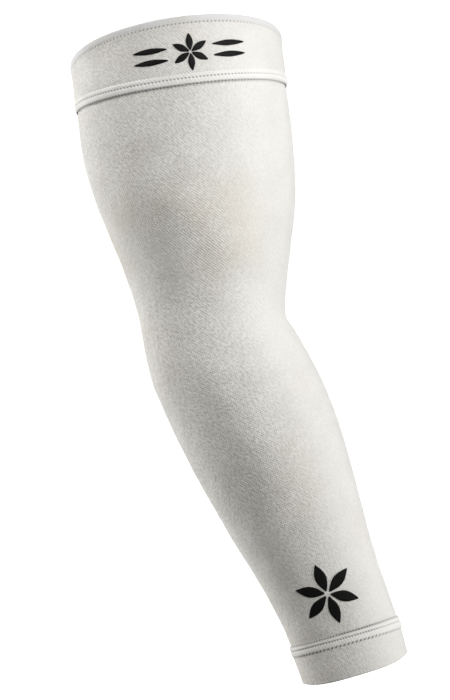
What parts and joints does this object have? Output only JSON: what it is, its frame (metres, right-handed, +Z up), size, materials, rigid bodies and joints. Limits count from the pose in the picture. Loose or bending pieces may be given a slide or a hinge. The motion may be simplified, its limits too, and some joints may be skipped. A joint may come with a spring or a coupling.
{
  "type": "arm sleeve",
  "caption": "Off-white knitted compression sleeve for the arm, in its worn shape, with a doubled cuff at each end and plain black rosettes.",
  "frame": {"origin": "centre of the upper opening, where the arm goes in, near the rim's mean height", "axes": "+Z up along the upper arm, out of the upper opening; the forearm bends towards +X, the crook's side; the printed front faces -Y"},
  "size_m": [0.1502, 0.1175, 0.3942],
  "materials": {
    "white_knit": "fine matt knit",
    "cuff_knit": "doubled fine matt knit",
    "hem_elastic": "turned elastic hem",
    "seam_knit": "stretch stitching over knit",
    "black_print": "flat transfer print"
  },
  "bodies": {
    "root": {"sleeve_body": "white_knit", "upper_hem": "hem_elastic", "upper_cuff": "cuff_knit", "upper_seam": "seam_knit", "lower_seam": "seam_knit", "lower_cuff": "cuff_knit", "cuff_petal_1": "black_print", "cuff_petal_2": "black_print", "cuff_petal_3": "black_print", "cuff_petal_4": "black_print", "cuff_petal_5": "black_print", "cuff_petal_6": "black_print", "cuff_stroke_left_1": "black_print", "cuff_stroke_left_2": "black_print", "cuff_stroke_right_1": "black_print", "cuff_stroke_right_2": "black_print", "wrist_petal_1": "black_print", "wrist_petal_2": "black_print", "wrist_petal_3": "black_print", "wrist_petal_4": "black_print", "wrist_petal_5": "black_print", "wrist_petal_6": "black_print"}
  },
  "joints": []
}
